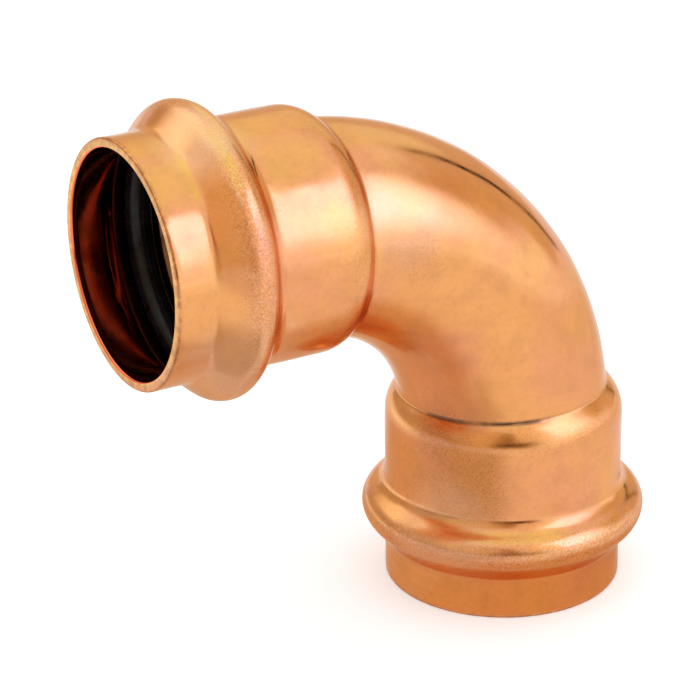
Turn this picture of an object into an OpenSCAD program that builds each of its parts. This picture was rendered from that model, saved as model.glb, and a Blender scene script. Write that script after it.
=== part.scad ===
// Press fit elbow: one formed copper tube with a socket at each end, and a seal ring in each socket's bead

/* [Pipe and socket] */
// Outside diameter of the pipe that each socket takes
pipe_d = 28.6; // [18:0.1:42]
// How much wider than the pipe the socket is
pipe_clearance = 0.4; // [0.2:0.05:0.8]
// Wall of the tube that the fitting is formed from
wall = 1.3; // [0.8:0.05:2]
// Depth of the straight socket, from its mouth to its shoulder
socket_depth = 23.5; // [18:0.1:40]
// Bevel on both edges of a socket's mouth
mouth_bevel = 0.25; // [0.1:0.05:0.35]

/* [Shoulder and bend] */
// How far the shoulder steps in from the socket to the bend, which stops the pipe
stop_height = 1.95; // [1:0.05:3.5]
// Radius of the shoulder
shoulder_round = 5.2; // [4:0.1:8]
// Radius of the bend at the middle of the tube
bend_radius = 32.1; // [26:0.1:60]
// How far the bend begins before the socket ends
bend_overlap = 0.6; // [0:0.1:2]

/* [Bead and seal ring] */
// Distance from the mouth to the middle of the bead
bead_place = 10.05; // [6:0.05:14]
// Wall of the bead, thinner from the forming
bead_wall = 0.95; // [0.6:0.05:1.3]
// Slope of the bead's flank towards the mouth, in degrees from the socket's wall
mouth_flank = 42; // [30:1:55]
// Radius of the hollow where that flank rises from the socket
mouth_hollow = 1.9; // [0.6:0.05:3]
// Slope of the bead's steeper flank towards the bend
bend_flank = 60; // [35:1:62]
// Radius of the hollow where that flank rises from the socket
bend_hollow = 2.6; // [0.6:0.05:3]
// Thickness of the seal ring
seal_d = 3.5; // [2.8:0.05:4.5]
// Clearance between the seal ring and its groove
seal_gap = 0.05; // [0.02:0.01:0.15]
// How far the seal ring stands proud of the socket's wall
seal_bite = 0.1; // [0:0.05:0.2]

/* [Hidden] */
$fn = 128;
bore_r = (pipe_d + pipe_clearance) / 2;
socket_r = bore_r + wall;
bend_r = socket_r - stop_height;
seal_r = bore_r - seal_bite + seal_d / 2;
groove_round = seal_d / 2 + seal_gap;
bead_round = groove_round + bead_wall;
bend_start = socket_depth - bend_overlap;
centre_to_end = bend_start + bend_radius;
// How far a cut runs past the face that it opens
past = 1;
// How far two rounds that run into each other overlap
meet = 0.0005;
copper = [0.85, 0.52, 0.33];
black = [0.05, 0.05, 0.05];

// One side of a rib on a cylinder of radius base: the flank from its crest down to a hollow at its foot
module rib_side(base, crest_round, flank, hollow_round) {
    crest = crest_round - meet;
    hollow = hollow_round - meet;
    hollow_mid = base + hollow_round;
    top = [seal_r + crest * cos(flank), crest * sin(flank)];
    reach = top.y + (hollow + (top.x - hollow_mid) * cos(flank)) / sin(flank);
    foot = [hollow_mid - hollow * cos(flank), reach - hollow * sin(flank)];
    difference() {
        polygon([[0, -crest / 2], [seal_r, -crest / 2], top, foot, [hollow_mid, reach], [0, reach]]);
        translate([hollow_mid, reach]) circle(hollow_round);
    }
}

// Half the section of a rib with a round crest over the seal ring; off is how far it lies inside the outer skin
module rib_section(base, crest_round, off) {
    translate([seal_r, 0]) circle(crest_round);
    mirror([0, 1]) rib_side(base, crest_round, mouth_flank, mouth_hollow + off);
    rib_side(base, crest_round, bend_flank, bend_hollow + off);
}

// Half the section of a cylinder whose far end is rounded off
module domed_section(r, start, end, round) {
    translate([0, start]) square([r, end - start]);
    translate([0, end - past]) square([r - round, round + past]);
    intersection() {
        translate([r - round, end]) circle(round);
        translate([r - round, end]) square(round);
    }
}

// What a socket fills, standing on its mouth
module socket_outside() {
    rotate_extrude() {
        difference() {
            domed_section(socket_r, 0, socket_depth, shoulder_round);
            polygon([[socket_r - mouth_bevel - past, -past], [socket_r + past, -past],
                     [socket_r + past, mouth_bevel + past]]);
        }
        translate([0, bead_place]) rib_section(socket_r, bead_round, 0);
    }
}

// What a socket leaves open: its bevelled mouth, bore and groove
module socket_inside() {
    rotate_extrude() {
        domed_section(bore_r, -past, socket_depth, shoulder_round - wall);
        translate([0, bead_place]) rib_section(bore_r, groove_round, wall);
        polygon([[0, -past], [bore_r + mouth_bevel + past, -past], [bore_r - past, mouth_bevel + past],
                 [0, mouth_bevel + past]]);
    }
}

// A quarter turn of round bar from one socket to the other
module bend(r) {
    translate([-bend_radius, 0, bend_start]) rotate([90, 0, 0])
        rotate_extrude(angle = 90) translate([bend_radius, 0]) circle(r);
}

// Turns what stands on the bottom mouth so that it stands on the side mouth
module at_side() {
    translate([-centre_to_end, 0, centre_to_end]) rotate([0, 90, 0]) children();
}

module elbow_body() {
    color(copper) difference() {
        union() {
            socket_outside();
            at_side() socket_outside();
            bend(bend_r);
        }
        socket_inside();
        at_side() socket_inside();
        bend(bend_r - wall);
    }
}

module bottom_seal_ring() {
    color(black) translate([0, 0, bead_place])
        rotate_extrude() translate([seal_r, 0]) circle(seal_d / 2);
}

module side_seal_ring() {
    at_side() bottom_seal_ring();
}

elbow_body();
side_seal_ring();
bottom_seal_ring();
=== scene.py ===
import math

import bmesh
import bpy
from mathutils import Matrix, Vector


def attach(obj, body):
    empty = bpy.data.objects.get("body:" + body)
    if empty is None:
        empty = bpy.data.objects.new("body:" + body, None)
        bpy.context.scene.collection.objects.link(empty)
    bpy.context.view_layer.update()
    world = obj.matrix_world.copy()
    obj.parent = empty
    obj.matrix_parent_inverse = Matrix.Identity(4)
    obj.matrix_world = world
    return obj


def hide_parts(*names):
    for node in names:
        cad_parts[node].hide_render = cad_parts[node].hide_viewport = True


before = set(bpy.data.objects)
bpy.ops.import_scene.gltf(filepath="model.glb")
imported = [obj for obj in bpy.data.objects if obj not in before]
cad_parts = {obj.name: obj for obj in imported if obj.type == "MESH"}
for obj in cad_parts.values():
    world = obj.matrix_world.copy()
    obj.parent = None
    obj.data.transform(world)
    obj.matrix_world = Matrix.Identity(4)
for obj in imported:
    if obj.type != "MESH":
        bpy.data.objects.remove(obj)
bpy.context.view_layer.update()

mm = 0.001
scene = bpy.context.scene


# Small helpers for working in edit mode

def deselectAll():
    if bpy.context.mode != "OBJECT":
        bpy.ops.object.mode_set(mode="OBJECT")
    bpy.ops.object.select_all(action="DESELECT")


def activate(obj):
    deselectAll()
    obj.select_set(True)
    bpy.context.view_layer.objects.active = obj


def startFromPoint(name, x, z):
    # a plane merged to one vertex, which is then drawn out into a section in the XZ plane
    deselectAll()
    bpy.ops.mesh.primitive_plane_add(size=0.001)
    obj = bpy.context.object
    obj.name = name
    bpy.ops.object.mode_set(mode="EDIT")
    bpy.ops.mesh.select_mode(type="VERT")
    bpy.ops.mesh.select_all(action="SELECT")
    bpy.ops.mesh.merge(type="CENTER")
    bpy.ops.transform.translate(value=(x * mm, 0, z * mm))
    return obj


def drawLine(x, z, toX, toZ, steps):
    step = ((toX - x) * mm / steps, 0, (toZ - z) * mm / steps)
    for i in range(steps):
        bpy.ops.mesh.extrude_vertices_move(TRANSFORM_OT_translate={"value": step})


def drawArc(centreX, centreZ, degrees, steps):
    # counter-clockwise in the XZ plane, seen with X right and Z up
    bpy.ops.mesh.spin(steps=steps, angle=math.radians(degrees), use_auto_merge=False,
                      center=(centreX * mm, 0, centreZ * mm), axis=(0, 1, 0))


def mergeDoubles(distance):
    bpy.ops.mesh.select_all(action="SELECT")
    bpy.ops.mesh.remove_doubles(threshold=distance * mm)


def selectEdges(obj, wanted):
    # picks open edges by the place of their middle
    bpy.ops.mesh.select_mode(type="EDGE")
    bpy.ops.mesh.select_all(action="DESELECT")
    editMesh = bmesh.from_edit_mesh(obj.data)
    count = 0
    for edge in editMesh.edges:
        if edge.is_boundary and wanted((edge.verts[0].co + edge.verts[1].co) / 2 / mm):
            edge.select = True
            count += 1
    bmesh.update_edit_mesh(obj.data)
    return count


# Elbow body: half of it is modelled standing on the bottom mouth, then turned over for the side leg

elbow = {
    "boreR": 14.5, "socketR": 15.8, "socketDepth": 23.5, "rimRound": 0.3,
    "beadPlace": 10.05, "sealR": 16.15, "beadRound": 2.75, "grooveRound": 1.8,
    "mouthFlank": 42, "mouthHollow": 1.9, "bendFlank": 60, "bendHollow": 2.6,
    "shoulderRound": 5.2, "shoulderInner": 3.9, "shoulderR": 10.6, "shoulderSweep": 55,
    "bendRadius": 32.1, "bendStart": 22.9, "bendR": 13.85, "bendInner": 12.55, "halfBend": 45,
    # the bend meets its shoulder in a small round: gap left for it, cuts across it, and how high it reaches
    "seamGap": 0.42, "seamCuts": 4, "seamHeight": 6, "around": 160,
    # angles between which the two surfaces cross, on the shoulder's round and along the bend
    "shoulderSearch": (0.2, 1.5), "bendSearch": (0.03, 0.5),
}


def ribPoints(base, crestRound, flank, hollow):
    # one side of a rib: where it leaves the wall, its hollow ends and its crest begins, as r and distance
    slope = math.radians(flank)
    topR, topZ = elbow["sealR"] + crestRound * math.cos(slope), crestRound * math.sin(slope)
    reach = topZ + (hollow + (topR - base - hollow) * math.cos(slope)) / math.sin(slope)
    foot = (base + hollow * (1 - math.cos(slope)), reach - hollow * math.sin(slope))
    return reach, foot, (topR, topZ)


def drawSocket():
    e = elbow
    bead, rim, wall = e["beadPlace"], e["rimRound"], e["socketR"] - e["boreR"]
    mouthIn, bendIn = e["mouthHollow"] + wall, e["bendHollow"] + wall
    # from the end of the inner shoulder down the bore and through the groove
    top = math.radians(e["shoulderSweep"])
    obj = startFromPoint("elbowBody", e["shoulderR"] + e["shoulderInner"] * math.cos(top),
                         e["socketDepth"] + e["shoulderInner"] * math.sin(top))
    drawArc(e["shoulderR"], e["socketDepth"], -e["shoulderSweep"], 8)
    reach, foot, crest = ribPoints(e["boreR"], e["grooveRound"], e["bendFlank"], bendIn)
    drawLine(e["boreR"], e["socketDepth"], e["boreR"], bead + reach, 7)
    drawArc(e["boreR"] + bendIn, bead + reach, e["bendFlank"], 9)
    drawLine(foot[0], bead + foot[1], crest[0], bead + crest[1], 2)
    drawArc(e["sealR"], bead, -e["bendFlank"] - e["mouthFlank"], 14)
    reach, foot, crest = ribPoints(e["boreR"], e["grooveRound"], e["mouthFlank"], mouthIn)
    drawLine(crest[0], bead - crest[1], foot[0], bead - foot[1], 4)
    drawArc(e["boreR"] + mouthIn, bead - reach, e["mouthFlank"], 7)
    drawLine(e["boreR"], bead - reach, e["boreR"], rim, 5)
    # round the rim and up the outside, over the bead
    drawArc(e["boreR"] + rim, rim, 90, 5)
    drawLine(e["boreR"] + rim, 0, e["socketR"] - rim, 0, 2)
    drawArc(e["socketR"] - rim, rim, 90, 5)
    reach, foot, crest = ribPoints(e["socketR"], e["beadRound"], e["mouthFlank"], e["mouthHollow"])
    drawLine(e["socketR"], rim, e["socketR"], bead - reach, 7)
    drawArc(e["socketR"] + e["mouthHollow"], bead - reach, -e["mouthFlank"], 7)
    drawLine(foot[0], bead - foot[1], crest[0], bead - crest[1], 5)
    drawArc(e["sealR"], bead, e["mouthFlank"] + e["bendFlank"], 20)
    reach, foot, crest = ribPoints(e["socketR"], e["beadRound"], e["bendFlank"], e["bendHollow"])
    drawLine(crest[0], bead + crest[1], foot[0], bead + foot[1], 2)
    drawArc(e["socketR"] + e["bendHollow"], bead + reach, -e["bendFlank"], 10)
    drawLine(e["socketR"], bead + reach, e["socketR"], e["socketDepth"], 11)
    drawArc(e["shoulderR"], e["socketDepth"], e["shoulderSweep"], 11)
    bpy.ops.mesh.select_all(action="SELECT")
    bpy.ops.mesh.spin(steps=e["around"], angle=2 * math.pi, center=(0, 0, 0), axis=(0, 0, 1))
    mergeDoubles(0.002)
    bpy.ops.object.mode_set(mode="OBJECT")
    return obj


def drawBend(radius, steps):
    e = elbow
    deselectAll()
    bpy.ops.mesh.primitive_circle_add(vertices=e["around"], radius=radius * mm)
    obj = bpy.context.object
    bpy.ops.object.mode_set(mode="EDIT")
    bpy.ops.mesh.select_all(action="SELECT")
    bpy.ops.transform.translate(value=(0, 0, e["bendStart"] * mm))
    bpy.ops.mesh.spin(steps=steps, angle=math.radians(e["halfBend"]), axis=(0, 1, 0),
                      center=(-e["bendRadius"] * mm, 0, e["bendStart"] * mm))
    bpy.ops.object.mode_set(mode="OBJECT")
    return obj


def offShoulder(point, shoulder):
    # how far a point lies outside the shoulder's round
    e = elbow
    return math.hypot(math.hypot(point.x, point.y) - e["shoulderR"], point.z - e["socketDepth"]) - shoulder


def offBend(point, radius):
    e = elbow
    across = math.hypot(point.x + e["bendRadius"], point.z - e["bendStart"]) - e["bendRadius"]
    return math.hypot(across, point.y) - radius


def shoulderPoint(shoulder, turn, angle):
    e = elbow
    r = e["shoulderR"] + shoulder * math.cos(angle)
    return Vector((r * math.cos(turn), r * math.sin(turn), e["socketDepth"] + shoulder * math.sin(angle)))


def bendPoint(radius, turn, angle):
    e = elbow
    r = e["bendRadius"] + radius * math.cos(turn)
    return Vector((r * math.cos(angle) - e["bendRadius"], radius * math.sin(turn),
                   e["bendStart"] + r * math.sin(angle)))


def crossing(test, low, high):
    # the angle at which test changes sign, found by halving
    lowSign = test(low) > 0
    for i in range(40):
        middle = (low + high) / 2
        if (test(middle) > 0) == lowSign:
            low = middle
        else:
            high = middle
    return low


def trimShoulder(obj, shoulder, radius):
    # slides the shoulder's rings so that they end just short of where the bend comes out of it
    e = elbow
    full = math.radians(e["shoulderSweep"])
    for vertex in obj.data.vertices:
        point = vertex.co / mm
        if point.z < e["socketDepth"] + 0.001 or abs(offShoulder(point, shoulder)) > 0.01:
            continue
        turn = math.atan2(point.y, point.x)
        angle = math.atan2(point.z - e["socketDepth"], math.hypot(point.x, point.y) - e["shoulderR"])
        end = crossing(lambda a: offBend(shoulderPoint(shoulder, turn, a), radius), *e["shoulderSearch"])
        end -= e["seamGap"] / shoulder
        vertex.co = shoulderPoint(shoulder, turn, angle / full * end) * mm


def trimBend(obj, shoulder, radius):
    e = elbow
    full = math.radians(e["halfBend"])
    for vertex in obj.data.vertices:
        point = vertex.co / mm
        angle = math.atan2(point.z - e["bendStart"], point.x + e["bendRadius"])
        across = math.hypot(point.x + e["bendRadius"], point.z - e["bendStart"]) - e["bendRadius"]
        turn = math.atan2(point.y, across)
        start = crossing(lambda a: offShoulder(bendPoint(radius, turn, a), shoulder), *e["bendSearch"])
        start += e["seamGap"] / (e["bendRadius"] + radius * math.cos(turn))
        vertex.co = bendPoint(radius, turn, start + angle / full * (full - start)) * mm


def makeElbowBody():
    e = elbow
    socket = drawSocket()
    outside = drawBend(e["bendR"], 30)
    inside = drawBend(e["bendInner"], 20)
    trimShoulder(socket, e["shoulderRound"], e["bendR"])
    trimShoulder(socket, e["shoulderInner"], e["bendInner"])
    trimBend(outside, e["shoulderRound"], e["bendR"])
    trimBend(inside, e["shoulderInner"], e["bendInner"])
    activate(socket)
    outside.select_set(True)
    inside.select_set(True)
    bpy.ops.object.join()
    bpy.ops.object.mode_set(mode="EDIT")
    # the small round where the bend leaves the shoulder, outside and then inside
    for radius in (e["bendR"], e["bendInner"]):
        found = selectEdges(socket, lambda p: p.z < e["socketDepth"] + e["seamHeight"]
                            and abs(offBend(p, radius)) < 0.6)
        bpy.ops.mesh.bridge_edge_loops(number_cuts=e["seamCuts"], interpolation="SURFACE", smoothness=1)
        print("elbowBody: bridged", found, "edges at", radius, "mm")
    # the other half is the same half turned over about the middle of the bend
    bpy.ops.mesh.select_mode(type="VERT")
    bpy.ops.mesh.select_all(action="SELECT")
    bpy.ops.mesh.spin(steps=1, dupli=True, angle=math.pi, axis=(math.sqrt(0.5), 0, math.sqrt(0.5)),
                      center=(-e["bendRadius"] * mm, 0, e["bendStart"] * mm))
    mergeDoubles(0.01)
    bpy.ops.mesh.normals_make_consistent(inside=False)
    bpy.ops.object.mode_set(mode="OBJECT")
    bpy.ops.object.shade_smooth()
    return socket


def tubePlace(point):
    # distance from the nearer mouth along the tube, and the nearest point of its middle line
    e = elbow
    bend, start = e["bendRadius"], e["bendStart"]
    x, z = point.x + bend, point.z - start
    if z < 0:
        return point.z, Vector((0, 0, point.z))
    if x < 0:
        return point.x + bend + start, Vector((point.x, 0, bend + start))
    angle = math.atan2(z, x)
    middle = Vector((bend * (math.cos(angle) - 1), 0, start + bend * math.sin(angle)))
    return start + bend * min(angle, math.pi / 2 - angle), middle


def creaseOff(point):
    # how far a point lies from the crease where the bend leaves the nearer shoulder
    e = elbow
    x, z = point.x + e["bendRadius"], point.z - e["bendStart"]
    if z > x:
        point = Vector((z - e["bendRadius"], point.y, x + e["bendStart"]))
    return max(abs(offShoulder(point, e["shoulderRound"])), abs(offBend(point, e["bendR"])))


skin = {
    # how far a face turns inwards before it counts as bore, and the fade after that
    "boreFrom": 0.15, "boreFade": 0.3,
    # the mouths stay true: where the unevenness starts, and how soon it is full
    "evenMouth": 0.4, "evenFade": 2.0,
    # unevenness of formed tube: size of the waves, depth
    "waves": {"dents": (9.0, 0.11), "ripple": (3.2, 0.022)},
}


def clamp(value):
    return min(1, max(0, value))


def finishElbowSkin(obj):
    # what the copper's pattern follows, kept as attributes, and the slight unevenness of formed tube
    mesh = obj.data
    values = {"mouthDistance": [], "boreShare": [], "creaseOff": []}
    outer = obj.vertex_groups.new(name="outerSkin")
    for vertex in mesh.vertices:
        point = vertex.co / mm
        along, middle = tubePlace(point)
        inward = -vertex.normal.dot((point - middle).normalized())
        share = clamp((inward - skin["boreFrom"]) / skin["boreFade"])   # 1 inside the tube, 0 on the cut rim
        values["mouthDistance"].append(along)
        values["boreShare"].append(share)
        values["creaseOff"].append(creaseOff(point))
        uneven = (1 - share) * clamp((along - skin["evenMouth"]) / skin["evenFade"])
        outer.add([vertex.index], uneven, "REPLACE")
    for name, numbers in values.items():
        mesh.attributes.new(name, "FLOAT", "POINT").data.foreach_set("value", numbers)
    activate(obj)
    for name, (size, depth) in skin["waves"].items():
        clouds = bpy.data.textures.new(name, "CLOUDS")
        clouds.noise_scale = size * mm
        clouds.noise_depth = 1
        push = obj.modifiers.new(name, "DISPLACE")
        push.texture = clouds
        push.texture_coords = "LOCAL"
        push.strength = depth * mm
        push.mid_level = 0.5
        push.vertex_group = "outerSkin"
        bpy.ops.object.modifier_apply(modifier=name)
    obj.vertex_groups.clear()


body = makeElbowBody()
finishElbowSkin(body)
print("elbowBody:", len(body.data.vertices), "vertices,", len(body.data.polygons), "faces")


# Seal rings: moulded rubber rings, with the fine line that the two halves of a mould leave

sealRing = {
    "r": 16.15, "thickness": 3.5, "place": 10.05, "around": 160, "section": 40,
    "mouldLine": 0.06, "mouldHeight": 0.035,
}


def makeSealRing(name, side):
    q = sealRing
    deselectAll()
    bpy.ops.mesh.primitive_torus_add(major_radius=q["r"] * mm, minor_radius=q["thickness"] / 2 * mm,
                                     major_segments=q["around"], minor_segments=q["section"])
    ring = bpy.context.object
    ring.name = name
    bpy.ops.object.mode_set(mode="EDIT")
    bpy.ops.mesh.select_mode(type="EDGE")
    # the mould's line runs round the inner edge, as a low narrow ridge
    inner = q["r"] - q["thickness"] / 2
    bpy.ops.mesh.select_all(action="DESELECT")
    editMesh = bmesh.from_edit_mesh(ring.data)
    for edge in editMesh.edges:
        if all(abs(math.hypot(v.co.x, v.co.y) / mm - inner) < 0.005 for v in edge.verts):
            edge.select = True
    bmesh.update_edit_mesh(ring.data)
    bpy.ops.mesh.bevel(offset=q["mouldLine"] * mm, segments=2, profile=0.5)
    bpy.ops.mesh.select_mode(type="VERT")
    bpy.ops.mesh.select_all(action="DESELECT")
    editMesh = bmesh.from_edit_mesh(ring.data)
    for vertex in editMesh.verts:
        if abs(vertex.co.z) < 0.002 * mm and math.hypot(vertex.co.x, vertex.co.y) / mm < q["r"]:
            vertex.select = True
    bmesh.update_edit_mesh(ring.data)
    grow = (inner - q["mouldHeight"]) / inner
    bpy.ops.transform.resize(value=(grow, grow, 1), center_override=(0, 0, 0))
    bpy.ops.mesh.select_all(action="SELECT")
    place = (0, 0, q["place"])
    if side:   # lies across the side leg instead
        bpy.ops.transform.rotate(value=math.pi / 2, orient_axis="Y", center_override=(0, 0, 0))
        reach = elbow["bendRadius"] + elbow["bendStart"]
        place = (q["place"] - reach, 0, reach)
    bpy.ops.transform.translate(value=[p * mm for p in place])
    mergeDoubles(0.001)
    bpy.ops.mesh.normals_make_consistent(inside=False)
    bpy.ops.object.mode_set(mode="OBJECT")
    bpy.ops.object.shade_smooth()
    return ring


bottomRing = makeSealRing("bottomSealRing", False)
sideRing = makeSealRing("sideSealRing", True)
print("sealRings:", len(sideRing.data.polygons), "faces each")


# Shader node groups that the copper and the rubber share

def addNode(tree, kind, **settings):
    node = tree.nodes.new(kind)
    for key, value in settings.items():
        setattr(node, key, value)
    return node


def newGroup(name, inputs, outputs):
    tree = bpy.data.node_groups.new(name, "ShaderNodeTree")
    for label, kind, value in inputs:
        socket = tree.interface.new_socket(name=label, in_out="INPUT", socket_type=kind)
        if value is not None:
            socket.default_value = value
    for label, kind in outputs:
        tree.interface.new_socket(name=label, in_out="OUTPUT", socket_type=kind)
    return tree, addNode(tree, "NodeGroupInput"), addNode(tree, "NodeGroupOutput")


def makeCloudingGroup():
    # soft cloudy patches: a value from Low to High
    tree, given, result = newGroup(
        "clouding",
        [("Vector", "NodeSocketVector", None), ("Scale", "NodeSocketFloat", 0.1),
         ("Detail", "NodeSocketFloat", 3.0), ("Start", "NodeSocketFloat", 0.3), ("End", "NodeSocketFloat", 0.7),
         ("Low", "NodeSocketFloat", 0.0), ("High", "NodeSocketFloat", 1.0)],
        [("Value", "NodeSocketFloat")])
    noise = addNode(tree, "ShaderNodeTexNoise")
    spread = addNode(tree, "ShaderNodeMapRange", interpolation_type="SMOOTHSTEP")
    for label in ("Vector", "Scale", "Detail"):
        tree.links.new(given.outputs[label], noise.inputs[label])
    tree.links.new(noise.outputs["Fac"], spread.inputs["Value"])
    for label, target in (("Start", "From Min"), ("End", "From Max"), ("Low", "To Min"), ("High", "To Max")):
        tree.links.new(given.outputs[label], spread.inputs[target])
    tree.links.new(spread.outputs["Result"], result.inputs["Value"])
    return tree


def makeGrainGroup():
    # fine pits and an orange peel below them, as a height from 0 to 1
    tree, given, result = newGroup(
        "fineGrain",
        [("Vector", "NodeSocketVector", None), ("Grain Scale", "NodeSocketFloat", 2.5),
         ("Peel Scale", "NodeSocketFloat", 0.6), ("Grain Share", "NodeSocketFloat", 0.4)],
        [("Height", "NodeSocketFloat")])
    grain = addNode(tree, "ShaderNodeTexNoise")
    grain.inputs["Detail"].default_value = 3
    peel = addNode(tree, "ShaderNodeTexNoise")
    peel.inputs["Detail"].default_value = 1
    mix = addNode(tree, "ShaderNodeMix", data_type="FLOAT")
    tree.links.new(given.outputs["Vector"], grain.inputs["Vector"])
    tree.links.new(given.outputs["Vector"], peel.inputs["Vector"])
    tree.links.new(given.outputs["Grain Scale"], grain.inputs["Scale"])
    tree.links.new(given.outputs["Peel Scale"], peel.inputs["Scale"])
    tree.links.new(given.outputs["Grain Share"], mix.inputs["Factor"])
    tree.links.new(peel.outputs["Fac"], mix.inputs[2])
    tree.links.new(grain.outputs["Fac"], mix.inputs[3])
    tree.links.new(mix.outputs[0], result.inputs["Height"])
    return tree


cloudingGroup = makeCloudingGroup()
grainGroup = makeGrainGroup()


def newMaterial(name):
    material = bpy.data.materials.new(name)
    material.use_nodes = True
    tree = material.node_tree
    tree.nodes.clear()
    output = addNode(tree, "ShaderNodeOutputMaterial")
    return material, tree, output


def millimetres(tree):
    # Object coordinates in millimetres
    place = addNode(tree, "ShaderNodeTexCoord")
    scaled = addNode(tree, "ShaderNodeMapping")
    scaled.inputs["Scale"].default_value = (1 / mm, 1 / mm, 1 / mm)
    tree.links.new(place.outputs["Object"], scaled.inputs["Vector"])
    return scaled.outputs["Vector"]


def clouding(tree, vector, values):
    # values are the group's inputs in their order: scale, detail, start, end, low, high
    node = addNode(tree, "ShaderNodeGroup", node_tree=cloudingGroup)
    tree.links.new(vector, node.inputs["Vector"])
    for label, value in zip(("Scale", "Detail", "Start", "End", "Low", "High"), values):
        node.inputs[label].default_value = value
    return node.outputs["Value"]


def mixColour(tree, factor, first, second):
    node = addNode(tree, "ShaderNodeMix", data_type="RGBA")
    tree.links.new(factor, node.inputs["Factor"])
    for socket, colour in ((node.inputs[6], first), (node.inputs[7], second)):
        if isinstance(colour, bpy.types.NodeSocket):
            tree.links.new(colour, socket)
        else:
            socket.default_value = (*colour, 1)
    return node.outputs[2]


def doMath(tree, operation, first, second=None):
    node = addNode(tree, "ShaderNodeMath", operation=operation)
    for socket, value in ((node.inputs[0], first), (node.inputs[1], second)):
        if isinstance(value, bpy.types.NodeSocket):
            tree.links.new(value, socket)
        elif value is not None:
            socket.default_value = value
    return node.outputs[0]


def multiply(tree, first, second):
    return doMath(tree, "MULTIPLY", first, second)


def larger(tree, first, second):
    return doMath(tree, "MAXIMUM", first, second)


def awayFrom(tree, value, place):
    return doMath(tree, "ABSOLUTE", doMath(tree, "SUBTRACT", value, place))


def attribute(tree, name):
    return addNode(tree, "ShaderNodeAttribute", attribute_name=name).outputs["Fac"]


def smoothStep(tree, value, start, end, low=0, high=1):
    node = addNode(tree, "ShaderNodeMapRange", interpolation_type="SMOOTHSTEP")
    tree.links.new(value, node.inputs["Value"])
    for label, number in (("From Min", start), ("From Max", end), ("To Min", low), ("To Max", high)):
        node.inputs[label].default_value = number
    return node.outputs["Result"]


# Copper: bright pickled tube, golden to pinkish, with fine brown grain where it was worked most

copper = {
    "golden": (0.90, 0.375, 0.095), "pink": (0.86, 0.33, 0.12),
    "brown": (0.42, 0.14, 0.035), "pale": (0.98, 0.60, 0.40),
    "bore": (1.0, 0.155, 0.035), "boreDeepShade": (0.07, 0.012, 0.006),
    # clouds: scale per millimetre, detail, start, end, low, high
    "pinkClouds": (0.10, 3, 0.35, 0.65, 0.0, 1.0), "tarnish": (0.07, 2, 0.54, 0.72, 0.0, 0.7),
    "mottling": (0.35, 4, 0.35, 0.80, 0.0, 0.20), "fineMottling": (1.6, 3, 0.42, 0.75, 0.0, 0.13),
    "specks": (4.5, 2, 0.48, 0.68, 0.0, 0.55), "glints": (3.7, 2, 0.50, 0.66, 0.0, 0.45),
    "rimBrown": (1.1, 4, 0.40, 0.60, 0.1, 0.75), "roughness": (0.25, 4, 0.30, 0.70, 0.10, 0.25),
    "tarnishShare": 0.16,
    # millimetres between which a place fades in: the rim and bore from the mouth, the rest from its middle
    "rimFade": (0.6, 0.1), "beadFade": (4.0, 1.0), "crestFade": (3.4, 0.6), "boreFade": (8.5, 13.0),
    "shoulderPast": 1.5, "shoulderFade": (3.2, 1.0), "shoulderWorked": 0.55,
    "workedRough": 0.11, "workedPits": 2.5, "boreShare": 0.92, "boreShine": 0.6,
    # tarnished patches, which on the bottom socket and shoulder also stand in for the shaded floor that the
    # metal shows there, as painted shade: middle in millimetres, reach
    "stainsAndShade": [((-12.0, -10.3, 18.5), 9.0), ((-13.5, -6.5, 25.0), 6.5)],
    # places that have lost their shine: middle, reach, added roughness
    "dulled": [((-12.5, -7.8, 26.0), 9.0, 0.14), ((-15.3, -9.4, 12.3), 10.0, 0.12),
               ((-45.9, -18.2, 59.5), 7.0, 0.22)],
    # pale pinkish patches, painted highlight where the metal should show a brighter reflection: middle, reach,
    # share
    "paintedLightPatches": [((-46.0, -14.0, 42.5), 12.0, 0.45), ((-45.5, -5.0, 73.0), 8.5, 0.42),
               ((-15.3, -9.4, 12.3), 9.0, 0.32), ((-22.6, -12.7, 58.8), 8.0, 0.16),
               ((-18.0, -3.6, 66.2), 9.0, 0.12)],
    # painted shade: a dark line in the crease, strongest near one place and fainter elsewhere
    "crease": (0.10, 0.032, 0.010), "creaseFade": (0.42, 0.1), "creaseBreaks": (0.3, 3, 0.35, 0.55, 0.4, 0.85),
    "creaseAt": ((-9.2, -10.2, 27.0), 12.0), "creaseElsewhere": 0.2,
    "coatWeight": 0.6, "coatRoughness": 0.12, "coatIor": 1.8, "edge": (0.88, 0.62, 0.42), "peelDepth": 0.006,
}


def nearness(tree, vector, middle, reach):
    # 1 at a place and for four tenths of its reach, then falling to 0
    off = addNode(tree, "ShaderNodeVectorMath", operation="DISTANCE")
    tree.links.new(vector, off.inputs[0])
    off.inputs[1].default_value = middle
    return smoothStep(tree, off.outputs["Value"], reach, reach * 0.4)


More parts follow.
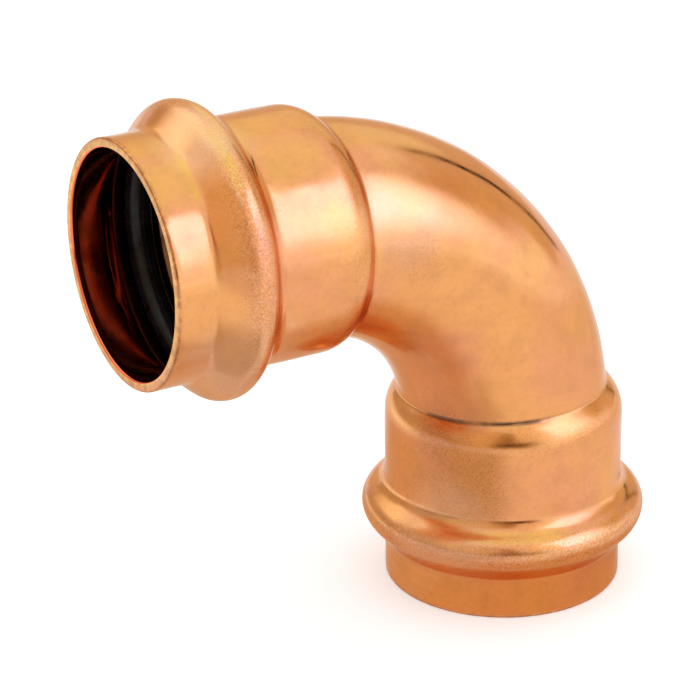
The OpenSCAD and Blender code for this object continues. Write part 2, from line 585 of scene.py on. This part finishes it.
def makeCopper():
    c = copper
    material, tree, output = newMaterial("brightCopper")
    vector = millimetres(tree)
    along, share, creaseAway = (attribute(tree, name) for name in ("mouthDistance", "boreShare", "creaseOff"))
    # where the tube was worked most: the bead's crest, the cut rim, the shoulder and a few tarnished patches,
    # which are partly painted shade
    beadAway = awayFrom(tree, along, elbow["beadPlace"])
    rim = smoothStep(tree, along, *c["rimFade"])
    worked = larger(tree, smoothStep(tree, beadAway, *c["beadFade"]), rim)
    shoulderAway = awayFrom(tree, along, elbow["socketDepth"] + c["shoulderPast"])
    worked = larger(tree, worked, smoothStep(tree, shoulderAway, *c["shoulderFade"], 0, c["shoulderWorked"]))
    patches = clouding(tree, vector, c["tarnish"])
    for middle, reach in c["stainsAndShade"]:
        patches = larger(tree, patches, nearness(tree, vector, middle, reach))
    worked = larger(tree, worked, patches)
    # colour: golden and pink clouds, brown mottling, then brown specks, and pale specks on the crest as painted
    # highlights
    colour = mixColour(tree, clouding(tree, vector, c["pinkClouds"]), c["golden"], c["pink"])
    for name in ("mottling", "fineMottling"):
        colour = mixColour(tree, clouding(tree, vector, c[name]), colour, c["brown"])
    # brown over the tarnish and the patches: tarnish, and painted shade on the bottom socket and shoulder
    colour = mixColour(tree, multiply(tree, patches, c["tarnishShare"]), colour, c["brown"])
    specks = multiply(tree, clouding(tree, vector, c["specks"]), worked)
    colour = mixColour(tree, specks, colour, c["brown"])
    # painted highlight: pale specks along the bead's crest
    crest = smoothStep(tree, beadAway, *c["crestFade"])
    glints = multiply(tree, clouding(tree, vector, c["glints"]), crest)
    colour = mixColour(tree, glints, colour, c["pale"])
    rimBrown = multiply(tree, clouding(tree, vector, c["rimBrown"]), rim)
    colour = mixColour(tree, rimBrown, colour, c["brown"])
    # painted highlight: pale patches mixed over the colour
    for middle, reach, most in c["paintedLightPatches"]:
        bloom = multiply(tree, nearness(tree, vector, middle, reach), most)
        colour = mixColour(tree, bloom, colour, c["pale"])
    # painted shade: a thin dark line in the crease, broken here and there
    line = multiply(tree, clouding(tree, vector, c["creaseBreaks"]),
                    smoothStep(tree, nearness(tree, vector, *c["creaseAt"]), 0, 1, c["creaseElsewhere"], 1))
    line = multiply(tree, line, smoothStep(tree, creaseAway, *c["creaseFade"]))
    colour = mixColour(tree, line, colour, c["crease"])
    # the inside is dark red oxide, painted darker to near black further in as painted shade
    inside = mixColour(tree, smoothStep(tree, along, *c["boreFade"]), c["bore"], c["boreDeepShade"])
    colour = mixColour(tree, multiply(tree, share, c["boreShare"]), colour, inside)
    # rougher where it was worked, shinier in the bore
    rough = clouding(tree, vector, c["roughness"])
    rough = doMath(tree, "ADD", rough, multiply(tree, worked, c["workedRough"]))
    rough = multiply(tree, rough, smoothStep(tree, share, 0, 1, 1, c["boreShine"]))
    for middle, reach, added in c["dulled"]:
        rough = doMath(tree, "ADD", rough, multiply(tree, nearness(tree, vector, middle, reach), added))
    grain = addNode(tree, "ShaderNodeGroup", node_tree=grainGroup)
    tree.links.new(vector, grain.inputs["Vector"])
    bump = addNode(tree, "ShaderNodeBump")
    bump.inputs["Distance"].default_value = c["peelDepth"] * mm
    pits = multiply(tree, grain.outputs["Height"], smoothStep(tree, worked, 0, 1, 1, c["workedPits"]))
    tree.links.new(pits, bump.inputs["Height"])
    shader = addNode(tree, "ShaderNodeBsdfPrincipled")
    shader.inputs["Metallic"].default_value = 1
    shader.inputs["Coat Weight"].default_value = c["coatWeight"]
    shader.inputs["Specular Tint"].default_value = (*c["edge"], 1)
    shader.inputs["Coat Roughness"].default_value = c["coatRoughness"]
    shader.inputs["Coat IOR"].default_value = c["coatIor"]
    tree.links.new(colour, shader.inputs["Base Color"])
    tree.links.new(rough, shader.inputs["Roughness"])
    tree.links.new(bump.outputs["Normal"], shader.inputs["Normal"])
    tree.links.new(shader.outputs[0], output.inputs["Surface"])
    return material


# Rubber: black, with the sheen of the grease that it is fitted with

rubber = {
    "black": (0.004, 0.004, 0.0045), "grey": (0.010, 0.010, 0.011), "specular": 0.22,
    "greyClouds": (0.5, 3, 0.35, 0.65, 0.0, 1.0), "roughness": (0.8, 3, 0.30, 0.70, 0.14, 0.34),
    "grainScale": 4, "peelDepth": 0.008,
}


def makeRubber():
    material, tree, output = newMaterial("blackRubber")
    vector = millimetres(tree)
    colour = mixColour(tree, clouding(tree, vector, rubber["greyClouds"]), rubber["black"], rubber["grey"])
    rough = clouding(tree, vector, rubber["roughness"])
    grain = addNode(tree, "ShaderNodeGroup", node_tree=grainGroup)
    grain.inputs["Grain Scale"].default_value = rubber["grainScale"]
    tree.links.new(vector, grain.inputs["Vector"])
    bump = addNode(tree, "ShaderNodeBump")
    bump.inputs["Distance"].default_value = rubber["peelDepth"] * mm
    tree.links.new(grain.outputs["Height"], bump.inputs["Height"])
    shader = addNode(tree, "ShaderNodeBsdfPrincipled")
    shader.inputs["Specular IOR Level"].default_value = rubber["specular"]
    tree.links.new(colour, shader.inputs["Base Color"])
    tree.links.new(rough, shader.inputs["Roughness"])
    tree.links.new(bump.outputs["Normal"], shader.inputs["Normal"])
    tree.links.new(shader.outputs[0], output.inputs["Surface"])
    return material


brightCopper = makeCopper()
blackRubber = makeRubber()
body.data.materials.append(brightCopper)
for ring in (bottomRing, sideRing):
    ring.data.materials.append(blackRubber)
print("materials: copper and rubber")

for piece, node, slot in ((body, "elbow_body", "copper"), (bottomRing, "bottom_seal_ring", "seal_rubber"),
                          (sideRing, "side_seal_ring", "seal_rubber")):
    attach(piece, "root")
    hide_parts(node)


# Studio: a white room with a pale floor, a soft light, and cards and flags that the metal shows

studio = {
    "middle": (-0.02, 0.0, 0.04),
    "roomLight": 1.0,
    "floorSize": 6.0, "floorColour": (0.9, 0.9, 0.9), "floorLift": 0.35, "floorMirror": 0.12,
    # azimuth from the front towards +X, elevation, distance, width, height,
    # soft edges (left, right, bottom, top), colour
    "cards": {
        "softLight": (44, 27, 0.60, 0.58, 0.62, (0.12, 0.55, 0.45, 0.12), (2.0, 2.25, 3.3)),
        "frontNear": (-4, 32, 0.80, 0.52, 0.75, (0.30, 0.05, 0.30, 0.30), (1.05, 1.0, 0.8)),
        "frontShade": (-62, 27, 0.90, 1.15, 0.88, (0.30, 0.30, 0.14, 0.30), (0.86, 0.72, 0.42)),
        "frontStrip": (-20, 6.5, 0.70, 0.76, 0.10, (0.25, 0.15, 0.20, 0.20), (0.0, 0.0, 0.0)),
        "leftStrip": (-92, 6.5, 0.70, 0.60, 0.10, (0.25, 0.25, 0.20, 0.20), (0.0, 0.0, 0.0)),
        "sideShade": (82, 26, 0.78, 0.60, 0.70, (0.40, 0.40, 0.40, 0.40), (0.75, 0.62, 0.36)),
        "sideStrip": (112, 16, 0.70, 0.060, 0.60, (0.15, 0.15, 0.15, 0.15), (0.0, 0.0, 0.0)),
        "rearLeft": (-155, 42, 0.90, 0.90, 0.85, (0.30, 0.30, 0.30, 0.30), (1.3, 1.34, 1.05)),
        "rearRight": (138, 36, 0.90, 0.75, 0.70, (0.25, 0.25, 0.25, 0.25), (1.0, 1.08, 0.74)),
        "overhead": (0, 88, 1.00, 1.40, 1.40, (0.30, 0.30, 0.30, 0.30), (1.05, 1.25, 0.80)),
        "wallFront": (-45, 20, 1.60, 3.20, 1.60, (0.05, 0.05, 0.10, 0.10), (0.40, 0.25, 0.15)),
        "wallRight": (45, 20, 1.60, 3.20, 1.60, (0.05, 0.05, 0.10, 0.10), (1.15, 1.25, 1.3)),
        "wallBack": (135, 20, 1.60, 3.20, 1.60, (0.05, 0.05, 0.10, 0.10), (0.80, 0.70, 0.48)),
        "wallLeft": (-135, 20, 1.60, 3.20, 1.60, (0.05, 0.05, 0.10, 0.10), (0.60, 0.50, 0.35)),
    },
    # the cards lying on the floor are painted shadow and painted light on the floor, which only the metal shows
    # azimuth of the length, distance along it and aside from the bottom leg, width, length, soft edges, colour
    "floorCards": {
        "floorShade": (-24, 0.045, 0.055, 0.11, 0.11, (0.20, 0.45, 0.30, 0.25), (0.58, 0.48, 0.36)),
        # a warm dim card round the foot: painted contact shade on the floor
        "floorFootShade": (-29, 0.0, 0.0, 0.076, 0.076, (0.20, 0.20, 0.20, 0.20), (0.74, 0.52, 0.34)),
        "floorShadow": (-136, 0.045, 0.0, 0.10, 0.09, (0.40, 0.40, 0.35, 0.40), (0.78, 0.62, 0.44)),
        "floorBack": (-141, 0.20, 0.0, 0.26, 0.22, (0.40, 0.40, 0.40, 0.40), (1.3, 1.6, 1.3)),
        "floorShine": (35, 0.75, 0.0, 1.30, 1.36, (0.30, 0.30, 0.45, 0.05), (1.2, 1.3, 1.4)),
        "floorRight": (75, 0.24, 0.0, 0.50, 0.42, (0.40, 0.40, 0.40, 0.40), (0.85, 0.80, 0.55)),
    },
    "floorCardLift": 0.0005,
}


def facing(azimuth, elevation, distance):
    # a place seen from the object at that azimuth and elevation, turned to face it
    a, e = math.radians(azimuth), math.radians(elevation)
    away = Vector((math.sin(a) * math.cos(e), -math.cos(a) * math.cos(e), math.sin(e)))
    place = Vector(studio["middle"]) + away * distance
    return Matrix.Translation(place) @ away.to_track_quat("Z", "Y").to_matrix().to_4x4()


def makeRoom():
    world = bpy.data.worlds.new("whiteRoom")
    scene.world = world
    world.use_nodes = True
    tree = world.node_tree
    tree.nodes.clear()
    white = addNode(tree, "ShaderNodeBackground")
    white.inputs["Color"].default_value = (1, 1, 1, 1)
    white.inputs["Strength"].default_value = studio["roomLight"]
    output = addNode(tree, "ShaderNodeOutputWorld")
    tree.links.new(white.outputs[0], output.inputs["Surface"])


def makeFloor():
    deselectAll()
    bpy.ops.mesh.primitive_plane_add(size=studio["floorSize"])
    floor = bpy.context.object
    floor.name = "floor"
    material, tree, output = newMaterial("paleFloor")
    matt = addNode(tree, "ShaderNodeBsdfDiffuse")
    matt.inputs["Color"].default_value = (*studio["floorColour"], 1)
    # lifted to white where the camera sees it, less in the metal, and the shadow stays
    path = addNode(tree, "ShaderNodeLightPath")
    mirrored = larger(tree, path.outputs["Is Glossy Ray"], path.outputs["Is Transmission Ray"])
    lift = doMath(tree, "ADD", multiply(tree, path.outputs["Is Camera Ray"], studio["floorLift"]),
                  multiply(tree, mirrored, studio["floorMirror"]))
    glow = addNode(tree, "ShaderNodeEmission")
    glow.inputs["Color"].default_value = (1, 1, 1, 1)
    tree.links.new(lift, glow.inputs["Strength"])
    both = addNode(tree, "ShaderNodeAddShader")
    tree.links.new(matt.outputs[0], both.inputs[0])
    tree.links.new(glow.outputs[0], both.inputs[1])
    tree.links.new(both.outputs[0], output.inputs["Surface"])
    floor.data.materials.append(material)


def lyingAt(azimuth, along, aside):
    # a place on the floor, turned so that its length points away from the bottom leg
    a = math.radians(azimuth)
    away, across = Vector((math.sin(a), -math.cos(a), 0)), Vector((-math.cos(a), -math.sin(a), 0))
    place = away * along + across * aside + Vector((0, 0, studio["floorCardLift"]))
    return Matrix.Translation(place) @ Matrix.Rotation(a + math.pi, 4, "Z")


def makeCard(name, matrix, width, length, soft, colour):
    # a plain card or light panel with soft edges, which only the metal and the rubber show
    deselectAll()
    bpy.ops.mesh.primitive_plane_add(size=1)
    card = bpy.context.object
    card.name = name
    card.matrix_world = matrix @ Matrix.Diagonal((width, length, 1, 1))
    material, tree, output = newMaterial(name)
    place = addNode(tree, "ShaderNodeTexCoord")
    parts = addNode(tree, "ShaderNodeSeparateXYZ")
    tree.links.new(place.outputs["Object"], parts.inputs[0])
    left, right, bottom, top = soft
    half = 0.5   # of the card's own width and height
    shown = multiply(tree, smoothStep(tree, parts.outputs["X"], -half, left - half),
                     smoothStep(tree, parts.outputs["X"], half, half - right))
    for start, end in ((-half, bottom - half), (half, half - top)):
        shown = multiply(tree, shown, smoothStep(tree, parts.outputs["Y"], start, end))
    glow = addNode(tree, "ShaderNodeEmission")
    glow.inputs["Color"].default_value = (*colour, 1)
    clear = addNode(tree, "ShaderNodeBsdfTransparent")
    mix = addNode(tree, "ShaderNodeMixShader")
    tree.links.new(shown, mix.inputs["Fac"])
    tree.links.new(clear.outputs[0], mix.inputs[1])
    tree.links.new(glow.outputs[0], mix.inputs[2])
    tree.links.new(mix.outputs[0], output.inputs["Surface"])
    card.data.materials.append(material)
    card.visible_camera = False
    card.visible_diffuse = False
    card.visible_shadow = False


makeRoom()
makeFloor()
for name, (azimuth, elevation, distance, *card) in studio["cards"].items():
    makeCard(name, facing(azimuth, elevation, distance), *card)
for name, (azimuth, along, aside, *card) in studio["floorCards"].items():
    makeCard(name, lyingAt(azimuth, along, aside), *card)
print("studio: room, floor and", len(studio["cards"]) + len(studio["floorCards"]), "cards")


# Camera, from the photograph's view

camera = {
    "place": (-0.199377, -0.315673, 0.193959), "lens": 158.044, "sensor": 36.0, "near": 0.01, "far": 50.0,
    "right": (0.87129, -0.49068, -0.0094), "up": (0.20313, 0.34313, 0.91706),
    "back": (-0.44676, -0.80093, 0.39864),
}


def makeCamera():
    data = bpy.data.cameras.new("viewCamera")
    data.lens = camera["lens"]
    data.sensor_width = camera["sensor"]
    data.clip_start = camera["near"]
    data.clip_end = camera["far"]
    view = bpy.data.objects.new("viewCamera", data)
    scene.collection.objects.link(view)
    turn = Matrix((camera["right"], camera["up"], camera["back"])).transposed().to_4x4()
    view.matrix_world = Matrix.Translation(camera["place"]) @ turn
    scene.camera = view


makeCamera()
scene.view_settings.view_transform = "Standard"
